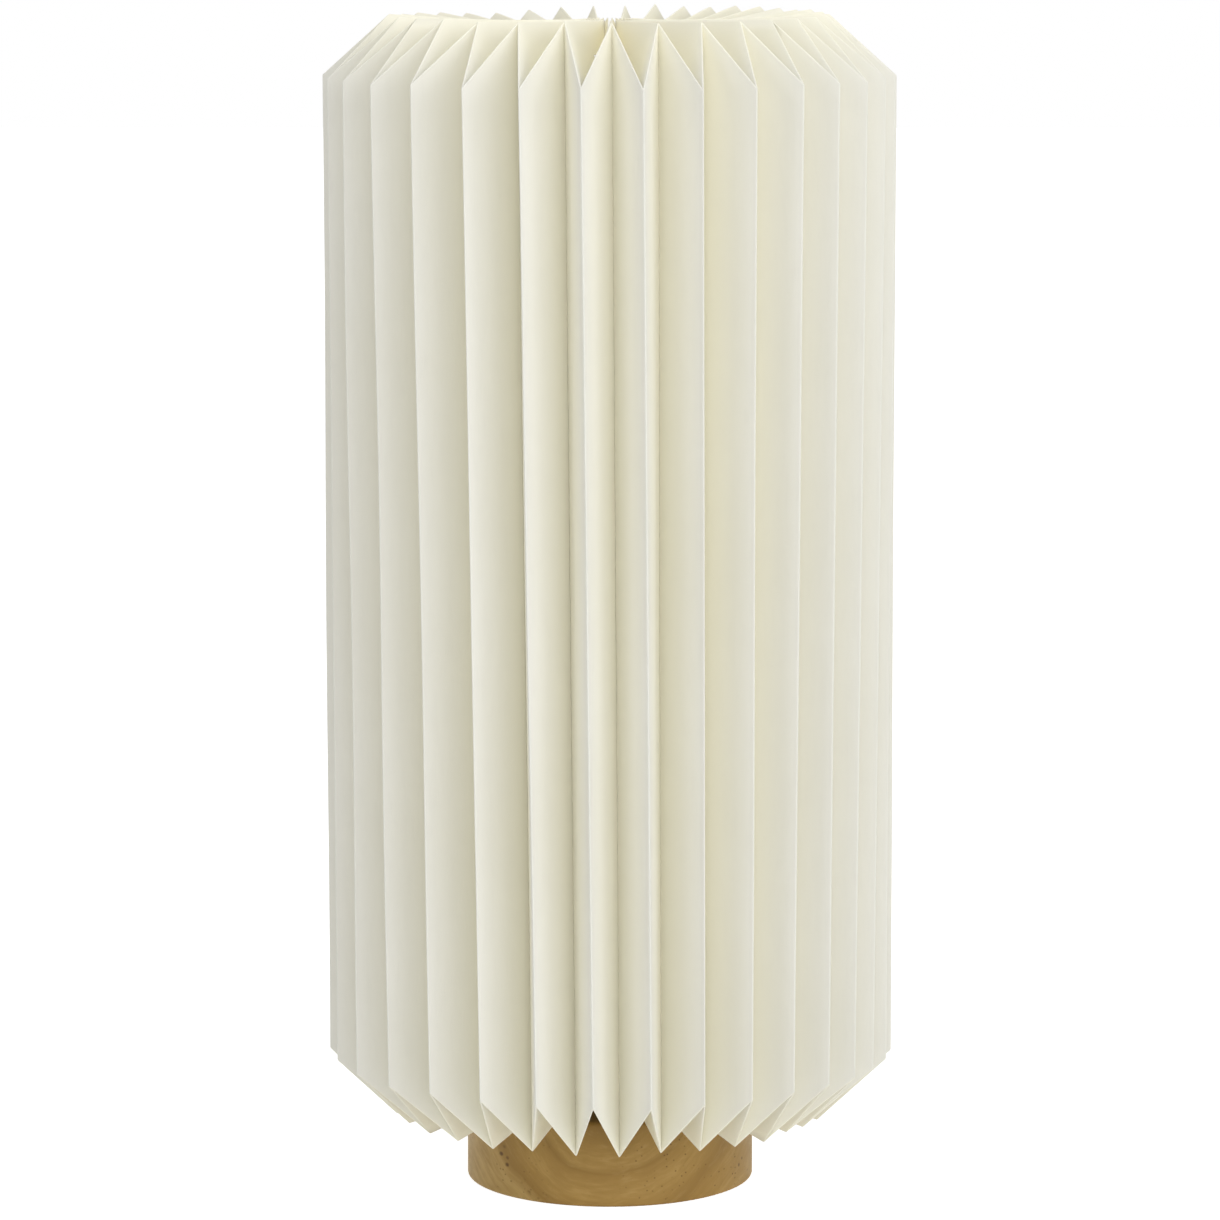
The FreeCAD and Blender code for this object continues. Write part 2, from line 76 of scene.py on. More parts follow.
# --- colours ----------------------------------------------------------------
FOLD_BOUNCE_TINT = (0.95, 0.925, 0.79)      # painted bounce light: paper made lighter and warmer near the inner folds
PAINTED_GLOW_TINT = (1.0, 0.88, 0.56)        # painted glow: colour of the emission that stands in for light through the paper
PAINTED_GLOW_UNDER = 0.09                          # painted glow strength where the paper faces down
PAINTED_GLOW_TOP = 0.08                      # painted glow strength around the top opening

# dark pin knots in the wood: place and size
PIN_KNOTS = (((0.0455, -0.0224, 0.0082), 0.0011), ((0.0466, -0.0200, 0.0100), 0.0009),
             ((0.0432, -0.0266, 0.0060), 0.0006), ((0.0440, -0.0252, 0.0118), 0.0006))

# --- folded paper, as in the solids -----------------------------------------
SHEETS = 4
PLEATS = 9
FOLDS = SHEETS * PLEATS * 2
PITCH = 2 * math.pi / (SHEETS * PLEATS)
FIRST_FOLD = math.radians(-140.0)
RIDGE_R = 100.0 * MM
FOLD_R = 76.5 * MM
TOP_Z = 412.0 * MM
TOP_RIDGE_Z = 391.0 * MM
LOW_RIDGE_Z = 47.0 * MM
LOW_FOLD_Z = 25.0 * MM
TOP_MOUTH_R = 10.0 * MM
LOW_MOUTH_R = 37.0 * MM
TOP_MOUTH_Z = 410.2 * MM
LOW_MOUTH_Z = 34.45 * MM
PANEL_W = 24.6 * MM
PAPER_T = 0.4 * MM
CREASE = 0.55 * MM            # rounding of a crease, along the paper
TOP_SPREAD = (0.182, 0.111, 0.5)    # sine, cosine and shift of the folds' angles at the top
LOW_SPREAD = (0.105, 0.172, 2.4)    # the same at the bottom, so that the folds lean
REAR_DIP = 2.0 * MM           # the rim hangs a little lower at the rear left
DIP_AT = math.radians(-140)
DIP_WIDE = math.radians(32)
SAG = 2.4 * MM                # the far side of the top collar sags between rim and opening
WOBBLE_R = 0.45 * MM          # hand folding: how far a fold strays in and out
WOBBLE_ANGLE = math.radians(0.16)    # and sideways
WOBBLE_Z = 0.55 * MM          # and how far its corners stray up and down
WAVE = 0.22 * MM              # slow wave along a fold
STRAY_SEED = 7
STRAYS_PER_FOLD = 8

# rows of points along a fold: bottom collar, body, top collar
ROWS = (14, 40, 14)
COLLAR_ROWS = 16              # a collar's rows and those of its rounded corner
PANEL_COLUMNS = 6
CORNER_POINTS = 3

# --- joint strips -----------------------------------------------------------
STRIP_REACH = 0.4             # the part of a panel that a strip covers
STRIP_COLUMNS = 4
STRIP_GAP = 1.21 * MM         # towards the axis
STRIP_T = 0.25 * MM

# --- rolled threads ---------------------------------------------------------
THREAD_PITCH = 3.629 * MM
THREAD_DEPTH = 0.5 * MM
THREAD_PHASE = 0.1
THREAD_METAL_T = 0.35 * MM
THREAD_COLUMNS = 96
CAP_THREAD_R = 12.6 * MM
SHELL_THREAD_R = 13.5 * MM

# --- felt -------------------------------------------------------------------
FRAY = 0.35 * MM              # raggedness of the cut rim
FELT_COLUMNS = 180


# --- material helpers -------------------------------------------------------
class Nodes:
    """Builds one procedural material around a Principled shader."""

    def __init__(self, name, colour, rough, metal=0.0):
        self.mat = bpy.data.materials.new(name)
        self.mat.use_nodes = True
        self.tree = self.mat.node_tree
        self.shader = self.tree.nodes["Principled BSDF"]
        self.shader.inputs["Base Color"].default_value = (*colour, 1)
        self.shader.inputs["Roughness"].default_value = rough
        self.shader.inputs["Metallic"].default_value = metal
        self.coords = self.add("ShaderNodeTexCoord").outputs["Object"]

    def add(self, kind, **values):
        node = self.tree.nodes.new(kind)
        for key, value in values.items():
            setattr(node, key, value)
        return node

    def link(self, out, into):
        self.tree.links.new(out, into)

    def mapped(self, scale=(1, 1, 1), turn=(0, 0, 0), move=(0, 0, 0)):
        node = self.add("ShaderNodeMapping")
        node.inputs["Scale"].default_value = scale
        node.inputs["Rotation"].default_value = turn
        node.inputs["Location"].default_value = move
        self.link(self.coords, node.inputs["Vector"])
        return node.outputs["Vector"]

    def noise(self, scale, detail=4.0, rough=0.55, vector=None, distort=0.0):
        node = self.add("ShaderNodeTexNoise")
        node.inputs["Scale"].default_value = scale
        node.inputs["Detail"].default_value = detail
        node.inputs["Roughness"].default_value = rough
        node.inputs["Distortion"].default_value = distort
        self.link(vector or self.coords, node.inputs["Vector"])
        return node.outputs["Fac"]

    def cells(self, scale, vector=None, feature="F1"):
        node = self.add("ShaderNodeTexVoronoi", feature=feature)
        node.inputs["Scale"].default_value = scale
        self.link(vector or self.coords, node.inputs["Vector"])
        return node.outputs["Distance"]

    def ramp(self, value, *stops):
        """stops are (place, colour or grey)."""
        node = self.add("ShaderNodeValToRGB")
        items = node.color_ramp.elements
        while len(items) < len(stops):
            items.new(0.5)
        for item, (place, colour) in zip(items, stops):
            item.position = place
            item.color = (*colour, 1) if isinstance(colour, tuple) else (colour, colour, colour, 1)
        self.link(value, node.inputs["Fac"])
        return node.outputs["Color"]

    def math(self, operation, a, b=None):
        node = self.add("ShaderNodeMath", operation=operation)
        for socket, value in zip(node.inputs, (a, b)):
            if value is None:
                continue
            if isinstance(value, (int, float)):
                socket.default_value = value
            else:
                self.link(value, socket)
        return node.outputs["Value"]

    def mix(self, part, a, b):
        node = self.add("ShaderNodeMix", data_type="RGBA")
        for socket, value in ((node.inputs[0], part), (node.inputs[6], a), (node.inputs[7], b)):
            if isinstance(value, (int, float)):
                socket.default_value = value
            elif isinstance(value, tuple):
                socket.default_value = (*value, 1)
            else:
                self.link(value, socket)
        return node.outputs[2]

    def colour(self, value):
        self.link(value, self.shader.inputs["Base Color"])

    def rough(self, value, low, high):
        node = self.add("ShaderNodeMapRange")
        node.inputs["To Min"].default_value = low
        node.inputs["To Max"].default_value = high
        self.link(value, node.inputs["Value"])
        self.link(node.outputs["Result"], self.shader.inputs["Roughness"])

    def bump(self, height, strength, distance):
        node = self.add("ShaderNodeBump")
        node.inputs["Strength"].default_value = strength
        node.inputs["Distance"].default_value = distance
        self.link(height, node.inputs["Height"])
        self.link(node.outputs["Normal"], self.shader.inputs["Normal"])

    def set(self, **values):
        for key, value in values.items():
            self.shader.inputs[key.replace("_", " ")].default_value = value


def paper_material(name, light, dark):
    """Matt handmade-looking card: faint clouds, long fibres and a fine tooth."""
    n = Nodes(name, light, 0.9)
    clouds = n.noise(14, 3, 0.5)
    fibres = n.noise(420, 3, 0.6, n.mapped((1, 1, 0.16)), 0.8)
    specks = n.noise(900, 2, 0.5)
    tint = n.ramp(clouds, (0.35, light), (0.7, dark))
    tint = n.mix(n.ramp(fibres, (0.45, 0.0), (0.75, 0.22)), tint, tuple(c * 0.93 for c in dark))
    # painted bounce light: the paper is made warmer and lighter towards the inner folds, where light
    # bounces between the panels
    level = n.add("ShaderNodeVectorMath", operation="LENGTH")
    n.link(n.mapped((1, 1, 0)), level.inputs[0])
    depth = n.add("ShaderNodeMapRange")
    depth.inputs["From Min"].default_value = RIDGE_R
    depth.inputs["From Max"].default_value = FOLD_R
    n.link(level.outputs["Value"], depth.inputs["Value"])
    tint = n.mix(depth.outputs["Result"], tint, FOLD_BOUNCE_TINT)
    n.colour(tint)
    tooth = n.math("ADD", n.math("MULTIPLY", fibres, 0.6), n.math("MULTIPLY", specks, 0.4))
    n.rough(fibres, 0.82, 0.97)
    n.bump(tooth, 0.35, 0.00018)
    n.set(Specular_IOR_Level=0.25)
    # painted glow: a little emission stands in for light coming through the paper where it faces down,
    # and around the top opening
    facing = n.add("ShaderNodeSeparateXYZ")
    n.link(n.add("ShaderNodeNewGeometry").outputs["Normal"], facing.inputs["Vector"])
    n.shader.inputs["Emission Color"].default_value = (*PAINTED_GLOW_TINT, 1)
    under = n.ramp(n.math("MULTIPLY", facing.outputs["Z"], -1.0), (0.08, 0.0), (0.45, PAINTED_GLOW_UNDER))
    height = n.add("ShaderNodeSeparateXYZ")
    n.link(n.coords, height.inputs["Vector"])
    over = n.ramp(n.math("MULTIPLY", height.outputs["Z"], 2.0), (0.76, 0.0), (0.80, PAINTED_GLOW_TOP))
    middle = n.ramp(n.math("MULTIPLY", level.outputs["Value"], 10.0), (0.15, 1.0), (0.75, 0.0))
    glow = n.math("ADD", under, n.math("MULTIPLY", over, middle))
    n.link(glow, n.shader.inputs["Emission Strength"])
    return n.mat


def wood_material():
    """Flat-sawn brown hardwood: arched growth bands, paler sapwood, flecks, pores and pin knots."""
    n = Nodes("wood", (0.35, 0.21, 0.058), 0.5)
    # growth rings lie about a line that runs back to front above the disc
    centred = n.mapped((1, 0, 1), move=(-0.001, 0, -0.043))
    parts = n.add("ShaderNodeSeparateXYZ")
    n.link(centred, parts.inputs["Vector"])
    length = n.add("ShaderNodeVectorMath", operation="LENGTH")
    n.link(centred, length.inputs[0])
    warp = n.math("MULTIPLY", n.math("SUBTRACT", n.noise(38, 3, 0.5), 0.5), 0.007)
    radius = n.math("ADD", length.outputs["Value"], warp)
    turn = n.math("ARCTAN2", parts.outputs["X"], n.math("MULTIPLY", parts.outputs["Z"], -1.0))
    along = n.add("ShaderNodeCombineXYZ")
    n.link(radius, along.inputs["X"])
    n.link(n.math("MULTIPLY", turn, 0.006), along.inputs["Y"])
    depth = n.add("ShaderNodeSeparateXYZ")
    n.link(n.coords, depth.inputs["Vector"])
    n.link(n.math("MULTIPLY", depth.outputs["Y"], 0.15), along.inputs["Z"])
    grain = along.outputs["Vector"]

    light, middle, dark = (0.45, 0.285, 0.085), (0.39, 0.237, 0.064), (0.305, 0.178, 0.044)
    sap, fleck = (0.52, 0.355, 0.13), (0.12, 0.062, 0.015)
    tint = n.ramp(n.math("MULTIPLY", radius, 14.0),
                  (0.22, dark), (0.30, middle), (0.405, light), (0.437, dark), (0.458, middle),
                  (0.55, light), (0.60, middle), (0.66, dark), (0.70, middle), (0.85, light))
    left = n.ramp(n.math("MULTIPLY", parts.outputs["X"], -20.0), (0.25, 0.0), (0.5, 1.0))
    beyond = n.ramp(n.math("MULTIPLY", radius, 14.0), (0.66, 0.0), (0.72, 0.85))
    tint = n.mix(n.math("MULTIPLY", left, beyond), tint, sap)
    clouds = n.noise(60, 4, 0.6)
    tint = n.mix(n.ramp(clouds, (0.4, 0.0), (0.75, 0.45)), tint, dark)
    streak = n.noise(620, 4, 0.62, grain, 0.3)
    tint = n.mix(n.ramp(streak, (0.42, 0.0), (0.75, 0.6)), tint, dark)
    tint = n.mix(n.ramp(streak, (0.25, 0.35), (0.45, 0.0)), tint, sap)
    pores = n.cells(520, n.mapped((1, 0.35, 1), turn=(0, 0.4, 0)))
    where = n.noise(34, 2, 0.5, n.mapped(move=(0.1, 0.2, 0.0)))
    spots = n.math("MULTIPLY", n.ramp(pores, (0.05, 0.8), (0.22, 0.0)),
                   n.ramp(where, (0.45, 0.0), (0.6, 1.0)))
    # a row of dark flecks follows the edge of the sapwood
    row = n.ramp(n.math("MULTIPLY", radius, 14.0), (0.635, 0.0), (0.66, 1.0), (0.68, 1.0), (0.705, 0.0))
    flecks = n.cells(330, n.mapped((1, 0.3, 1.0)))
    marks = n.math("MULTIPLY", n.math("MULTIPLY", n.ramp(flecks, (0.16, 1.0), (0.34, 0.0)), row), left)
    tint = n.mix(n.math("MAXIMUM", spots, marks), tint, fleck)
    for place, size in PIN_KNOTS:
        gap = n.add("ShaderNodeVectorMath", operation="DISTANCE")
        n.link(n.coords, gap.inputs[0])
        gap.inputs[1].default_value = place
        knot = n.ramp(n.math("DIVIDE", gap.outputs["Value"], size), (0.25, 0.9), (0.8, 0.0))
        tint = n.mix(knot, tint, fleck)
    n.colour(tint)
    n.rough(streak, 0.45, 0.62)
    n.bump(n.math("SUBTRACT", n.math("MULTIPLY", streak, 0.5), spots), 0.2, 0.0002)
    n.set(Specular_IOR_Level=0.3)
    return n.mat


def hardboard_material():
    n = Nodes("hardboard", (0.075, 0.035, 0.015), 0.7)
    fibres = n.noise(700, 4, 0.7)
    n.colour(n.ramp(fibres, (0.3, (0.05, 0.022, 0.01)), (0.75, (0.12, 0.06, 0.028))))
    n.bump(fibres, 0.3, 0.0002)
    return n.mat


def felt_material():
    n = Nodes("felt", (0.02, 0.02, 0.018), 0.95)
    hairs = n.noise(900, 5, 0.75, distort=1.5)
    lumps = n.noise(120, 3, 0.6)
    wool = n.ramp(hairs, (0.3, (0.011, 0.011, 0.01)), (0.75, (0.04, 0.04, 0.037)))
    n.colour(n.mix(n.ramp(lumps, (0.3, 0.0), (0.7, 0.5)), wool, (0.03, 0.029, 0.027)))
    n.bump(hairs, 0.8, 0.0005)
    n.set(Sheen_Weight=0.3, Sheen_Roughness=0.6)
    return n.mat


def metal_material(name, dark, light, rough, grain=(1, 1, 1), scale=900, bump=0.12):
    """Metal with fine tool marks and patches of duller surface."""
    n = Nodes(name, light, rough, 1.0)
    marks = n.noise(scale, 3, 0.6, n.mapped(grain))
    patches = n.noise(60, 3, 0.6)
    n.colour(n.mix(n.ramp(patches, (0.3, 0.0), (0.75, 0.7)), light, dark))
    wear = n.math("ADD", n.math("MULTIPLY", marks, 0.5), n.math("MULTIPLY", patches, 0.5))
    n.rough(wear, rough * 0.75, rough * 1.35)
    n.bump(marks, bump, 0.0001)
    return n.mat


def iron_material():
    n = Nodes("cast_iron", (0.03, 0.03, 0.033), 0.7, 0.8)
    sand = n.noise(500, 4, 0.65)
    n.colour(n.ramp(sand, (0.3, (0.018, 0.018, 0.02)), (0.75, (0.06, 0.057, 0.056))))
    n.bump(sand, 0.6, 0.0005)
    return n.mat


def painted_material():
    """Satin paint with faint orange peel."""
    n = Nodes("white_metal", (0.70, 0.68, 0.62), 0.42)
    peel = n.noise(380, 2, 0.4)
    dust = n.noise(45, 4, 0.6)
    n.colour(n.ramp(dust, (0.3, (0.71, 0.69, 0.63)), (0.75, (0.64, 0.62, 0.56))))
    n.rough(dust, 0.36, 0.5)
    n.bump(peel, 0.12, 0.00015)
    return n.mat


def plastic_material(name, light, dark, rough, texture=650, bump=0.12):
    """Moulded plastic with a fine spark-eroded texture."""
    n = Nodes(name, light, rough)
    grains = n.noise(texture, 3, 0.55)
    tone = n.noise(40, 3, 0.5)
    n.colour(n.ramp(tone, (0.35, light), (0.7, dark)))
    n.rough(grains, rough * 0.85, rough * 1.15)
    n.bump(grains, bump, 0.0001)
    return n.mat


def opal_material():
    """Frosted opal globe: satin white skin over a milky body."""
    n = Nodes("opal", (0.80, 0.80, 0.775), 0.34)
    frost = n.noise(800, 2, 0.5)
    haze = n.noise(25, 2, 0.5)
    n.colour(n.ramp(haze, (0.35, (0.82, 0.82, 0.80)), (0.7, (0.77, 0.77, 0.745))))
    n.rough(frost, 0.28, 0.42)
    n.bump(frost, 0.05, 0.0001)
    n.set(Subsurface_Weight=0.15, Subsurface_Scale=0.002, Coat_Weight=0.15, Coat_Roughness=0.3)
    return n.mat


def glaze_material():
    n = Nodes("porcelain", (0.75, 0.73, 0.67), 0.18)
    pits = n.noise(300, 3, 0.5)
    n.colour(n.ramp(n.noise(50, 3, 0.5), (0.35, (0.76, 0.74, 0.68)), (0.7, (0.69, 0.67, 0.6))))
    n.rough(pits, 0.12, 0.28)
    n.bump(pits, 0.06, 0.0001)
    return n.mat


def board_material():
    """Green solder mask with pale traces."""
    n = Nodes("circuit_board", (0.01, 0.08, 0.035), 0.35)
    traces = n.cells(420, feature="DISTANCE_TO_EDGE")
    n.colour(n.mix(n.ramp(traces, (0.03, 0.7), (0.08, 0.0)), (0.008, 0.07, 0.03), (0.03, 0.16, 0.07)))
    n.bump(traces, 0.1, 0.0001)
    return n.mat


def chip_material():
    n = Nodes("chip", (0.70, 0.50, 0.06), 0.3)
    grains = n.noise(1500, 3, 0.6)
    n.colour(n.ramp(grains, (0.3, (0.62, 0.42, 0.04)), (0.7, (0.78, 0.58, 0.10))))
    n.bump(grains, 0.1, 0.0001)
    return n.mat


def make_materials():
    return {
        "paper": paper_material("paper", (0.86, 0.85, 0.785), (0.84, 0.828, 0.755)),
        "paper_strip": paper_material("paper_strip", (0.84, 0.83, 0.76), (0.82, 0.80, 0.72)),
        "wood": wood_material(),
        "hardboard": hardboard_material(),
        "felt": felt_material(),
        "steel": metal_material("steel", (0.36, 0.37, 0.38), (0.52, 0.53, 0.55), 0.32),
        "wire": metal_material("wire", (0.38, 0.38, 0.38), (0.56, 0.56, 0.56), 0.3, (1, 1, 0.2)),
        "cast_iron": iron_material(),
        "brass": metal_material("brass", (0.42, 0.26, 0.075), (0.62, 0.43, 0.16), 0.3, (0.2, 0.2, 1)),
        "nickel": metal_material("nickel", (0.46, 0.45, 0.42), (0.63, 0.62, 0.59), 0.2, (0.2, 0.2, 1)),
        "aluminium": metal_material("aluminium", (0.56, 0.57, 0.58), (0.72, 0.73, 0.74), 0.4),
        "white_metal": painted_material(),
        "black_plastic": plastic_material("black_plastic", (0.016, 0.016, 0.018),
                                          (0.011, 0.011, 0.012), 0.42),
        "white_plastic": plastic_material("white_plastic", (0.75, 0.75, 0.73),
                                          (0.70, 0.70, 0.675), 0.35, 500, 0.06),
        "opal": opal_material(),
        "porcelain": glaze_material(),
        "black_glass": plastic_material("black_glass", (0.008, 0.008, 0.009),
                                        (0.005, 0.005, 0.006), 0.12, 300, 0.03),
        "chip": chip_material(),
        "circuit_board": board_material(),
    }


# --- mesh helpers -----------------------------------------------------------
def piece(name, verts, faces, slot, body, replaced=()):
    mesh = bpy.data.meshes.new(name)
    mesh.from_pydata([tuple(v) for v in verts], [], faces)
    mesh.validate()
    obj = bpy.data.objects.new(name, mesh)
    bpy.context.collection.objects.link(obj)
    mesh.materials.append(MATERIALS[slot])
    mesh.shade_smooth()
    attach(obj, body)
    if replaced:
        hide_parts(*replaced)
    return obj


def grid_faces(columns, rows, closed=False):
    """Quads over columns x rows points, listed column by column."""
    faces = []
    for i in range(columns if closed else columns - 1):
        j = (i + 1) % columns
        for k in range(rows - 1):
            faces.append((i * rows + k, j * rows + k, j * rows + k + 1, i * rows + k + 1))
    return faces


def polar(radius, angle, z):
    return Vector((radius * math.sin(angle), -radius * math.cos(angle), z))


# --- the shade --------------------------------------------------------------
def fold_angle(step, spread):
    """Angle of fold number `step`: even folds point inwards, odd ones outwards."""
    sine, cosine, shift = spread
    u = FIRST_FOLD + step * PITCH / 2
    return u + sine * math.sin(u) + cosine * (math.cos(u) - 1) + math.radians(shift)


def mouth_depth(radius):
    """How far the outer folds lie below the inner ones where a collar ends."""
    return math.sqrt(PANEL_W**2 - (radius * PITCH / 2) ** 2)


def strays():
    """Small errors of hand folding, one set per fold."""
    rng = random.Random(STRAY_SEED)
    return [[rng.uniform(-1, 1) for _ in range(STRAYS_PER_FOLD)] for _ in range(FOLDS)]


STRAYS = strays()


def rear_dip(angle):
    """1 where the top rim hangs lowest, fading to 0 to both sides."""
    away = (angle - DIP_AT + math.pi) % (2 * math.pi) - math.pi
    return math.exp(-(away / DIP_WIDE) ** 2)


def fold_corners(step):
    """The four corners of one fold: bottom opening, bottom rim, top rim, top opening."""
    stray = STRAYS[step % FOLDS]
    inward = step % 2 == 0
    top = fold_angle(step, TOP_SPREAD) + stray[0] * WOBBLE_ANGLE
    low = fold_angle(step, LOW_SPREAD) + stray[1] * WOBBLE_ANGLE
    radius = FOLD_R if inward else RIDGE_R
    low_z = LOW_FOLD_Z if inward else LOW_RIDGE_Z
    top_z = (TOP_Z if inward else TOP_RIDGE_Z) - REAR_DIP * rear_dip(top)
    low_mouth = LOW_MOUTH_Z + (0 if inward else mouth_depth(LOW_MOUTH_R))
    top_mouth = TOP_MOUTH_Z - (0 if inward else mouth_depth(TOP_MOUTH_R))
    return [polar(LOW_MOUTH_R, low, low_mouth),
            polar(radius + stray[2] * WOBBLE_R, low, low_z + stray[3] * WOBBLE_Z),
            polar(radius + stray[4] * WOBBLE_R, top, top_z + stray[5] * WOBBLE_Z),
            polar(TOP_MOUTH_R, top, top_mouth)]


def collar_sag(angle, part):
    """How far the top collar hangs between the rim (part 0) and the opening (part 1)."""
    return SAG * (1 - math.cos(angle)) ** 2 / 2 * max(0.0, math.sin(math.pi * part)) ** 1.2


def bezier(a, b, c, t):
    return a * (1 - t) ** 2 + b * (2 * t * (1 - t)) + c * t * t


def along_fold(step):
    """Points up one fold with its two corners slightly rounded."""
    corners = fold_corners(step)
    stray = STRAYS[step % FOLDS]
    points = []
    for k in range(3):
        a, b = corners[k], corners[k + 1]
        length = (b - a).length
        cut_a = CREASE / length if k > 0 else 0
        cut_b = CREASE / length if k < 2 else 0
        for i in range(ROWS[k] + 1):
            t = cut_a + (1 - cut_a - cut_b) * i / ROWS[k]
            point = a.lerp(b, t)
            if k == 1:
                bow = math.sin(math.pi * t)
                phase = 3.0 * t + 6.0 * stray[6]
                outward = Vector((point.x, point.y, 0)).normalized()
                point = point + outward * (bow * WAVE * math.sin(phase * 2.1) * (1 + stray[7]))
            if k == 2:
                point = point - Vector((0, 0, collar_sag(fold_angle(step, TOP_SPREAD), t)))
            points.append(point)
        if k < 2:
            following = corners[k + 2]
            start = points[-1]
            end = b.lerp(following, CREASE / (following - b).length)
            for i in range(1, CORNER_POINTS):
                points.append(bezier(start, b, end, i / CORNER_POINTS))
    return points


def sheet_columns(first, last):
    """Columns of points across the panels from fold `first` to fold `last`, creases rounded."""
    folds = [along_fold(s) for s in range(first, last + 1)]
    rows = len(folds[0])
    columns = []
    for i in range(len(folds) - 1):
        a, b = folds[i], folds[i + 1]
        panel = [(b[k] - a[k]).length for k in range(rows)]
        at_start = i == 0
        at_end = i == len(folds) - 2
        for j in range(PANEL_COLUMNS + 1):
            column = []
            for k in range(rows):
                cut = CREASE / panel[k]
                low = 0 if at_start else cut
                high = 1 if at_end else 1 - cut
                column.append(a[k].lerp(b[k], low + (high - low) * j / PANEL_COLUMNS))
            columns.append(column)
        if not at_end:
            c = folds[i + 2]
            starts = columns[-1]
            for j in range(1, CORNER_POINTS):
                column = []
                for k in range(rows):
                    end = b[k].lerp(c[k], CREASE / (c[k] - b[k]).length)
                    column.append(bezier(starts[k], b[k], end, j / CORNER_POINTS))
                columns.append(column)
    return columns


def thicken(obj, thickness):
    solid = obj.modifiers.new("thickness", "SOLIDIFY")
    solid.thickness = thickness
    solid.offset = 0
    return solid


def shade_sheets():
    for number in range(SHEETS):
        first = number * PLEATS * 2
        columns = sheet_columns(first, first + PLEATS * 2)
        verts = [point for column in columns for point in column]
        faces = grid_faces(len(columns), len(columns[0]))
        obj = piece(f"pleated_sheet_{number + 1}", verts, faces, "paper", "shade",
                    [f"shade_sheet_{number + 1}"])
        thicken(obj, PAPER_T)


def seam_strips():
    """Folded strips glued inside the folds where two sheets meet."""
    for number in range(SHEETS):
        step = number * PLEATS * 2
        middle, left, right = along_fold(step), along_fold(step - 1), along_fold(step + 1)
        low = next(k for k, p in enumerate(middle) if k > COLLAR_ROWS and p.z > LOW_RIDGE_Z)
        high = max(k for k, p in enumerate(middle)
                   if p.z < TOP_RIDGE_Z and k < len(middle) - COLLAR_ROWS)
        columns = []
        for place in range(-STRIP_COLUMNS, STRIP_COLUMNS + 1):
            other = left if place <= 0 else right
            part = STRIP_REACH * abs(place) / STRIP_COLUMNS
            column = []
            for k in range(low, high + 1):
                outward = Vector((middle[k].x, middle[k].y, 0)).normalized()
                column.append(middle[k].lerp(other[k], part) - outward * STRIP_GAP)
            columns.append(column)
        verts = [point for column in columns for point in column]
        faces = grid_faces(len(columns), len(columns[0]))
        obj = piece(f"joint_strip_{number + 1}", verts, faces, "paper_strip", "shade",
                    [f"seam_strip_{number + 1}"])
        thicken(obj, STRIP_T)


# --- threads ----------------------------------------------------------------
def threaded_sleeve(name, node, slot, body, radius, lower, upper):
    """A rolled round thread in place of a node, as one helical sheet.

    lower lists (radius, height over the node's foot) points and then the thread's start; upper
    has the thread's end and then (radius, depth under the node's head) points.
    """
    foot, head = (corner.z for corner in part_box(node))
    low = foot + lower[-1]
    high = head - upper[0]
    rows = int((high - low) / THREAD_PITCH * 14) + 1
    columns = []
    for i in range(THREAD_COLUMNS):
        angle = 2 * math.pi * i / THREAD_COLUMNS
        column = [polar(r, angle, foot + z) for r, z in lower[:-1]]
        for k in range(rows):
            z = low + (high - low) * k / (rows - 1)
            fade = min(1.0, (z - low) / (0.5 * THREAD_PITCH), (high - z) / (0.4 * THREAD_PITCH))
            wave = math.cos(2 * math.pi * (z - THREAD_PHASE) / THREAD_PITCH + angle)
            column.append(polar(radius + THREAD_DEPTH * wave * max(0.0, fade), angle, z))
        column += [polar(r, angle, head - z) for r, z in upper[1:]]
        columns.append(column)
    verts = [point for column in columns for point in column]
    faces = grid_faces(THREAD_COLUMNS, len(columns[0]), closed=True)
    obj = piece(name, verts, faces, slot, body, [node])
    thicken(obj, THREAD_METAL_T).offset = -1


def bulb_thread():
    lower = [(11.4 * MM, 0), (12.2 * MM, 0.7 * MM), 1.6 * MM]
    upper = [2.2 * MM, (12.75 * MM, 1.7 * MM), (12.75 * MM, 0.3 * MM), (12.9 * MM, 0)]
    threaded_sleeve("threaded_cap", "bulb_cap", "nickel", "bulb", CAP_THREAD_R, lower, upper)


def shell_thread():
    lower = [(9.6 * MM, 0.1 * MM), (12.6 * MM, 0.1 * MM), (13.3 * MM, 0.7 * MM), 3.0 * MM]
    upper = [0.8 * MM, (13.8 * MM, 0)]
    threaded_sleeve("threaded_shell", "screw_shell", "brass", "base", SHELL_THREAD_R, lower, upper)


# --- small parts ------------------------------------------------------------
def felt_disc():
    """Cut felt disc with a slightly ragged, rounded rim."""
    low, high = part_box("felt_pad")
    radius, thick = high.x, high.z - low.z
    verts = []
    # part of the radius, and part of the thickness
    rings = [(0.0, 0), (0.55, 0), (0.985, 0), (0.997, 0.25), (1.0, 0.6), (0.99, 1), (0.55, 1), (0.0, 1)]
    for i in range(FELT_COLUMNS):
        angle = 2 * math.pi * i / FELT_COLUMNS
        for part, level in rings:
            spot = Vector((math.cos(angle) * 40, math.sin(angle) * 40, level * 3))
            r = part * radius + (FRAY * noise.noise(spot) - FRAY if part > 0.9 else 0)
            verts.append(polar(max(r, 0.1 * MM), angle, low.z + level * thick))
    faces = grid_faces(FELT_COLUMNS, len(rings), closed=True)
    piece("felt_disc", verts, faces, "felt", "base", ["felt_pad"])


def dress_nodes():
    """Every solid that stays shown gets its slot's procedural material."""
    slots = {part["node"]: part["material_slot"] for part in frame["record"]["subparts"]}
    for name, obj in frame["nodes"].items():
        for index in range(len(obj.material_slots)):
            obj.material_slots[index].material = MATERIALS[slots[name]]


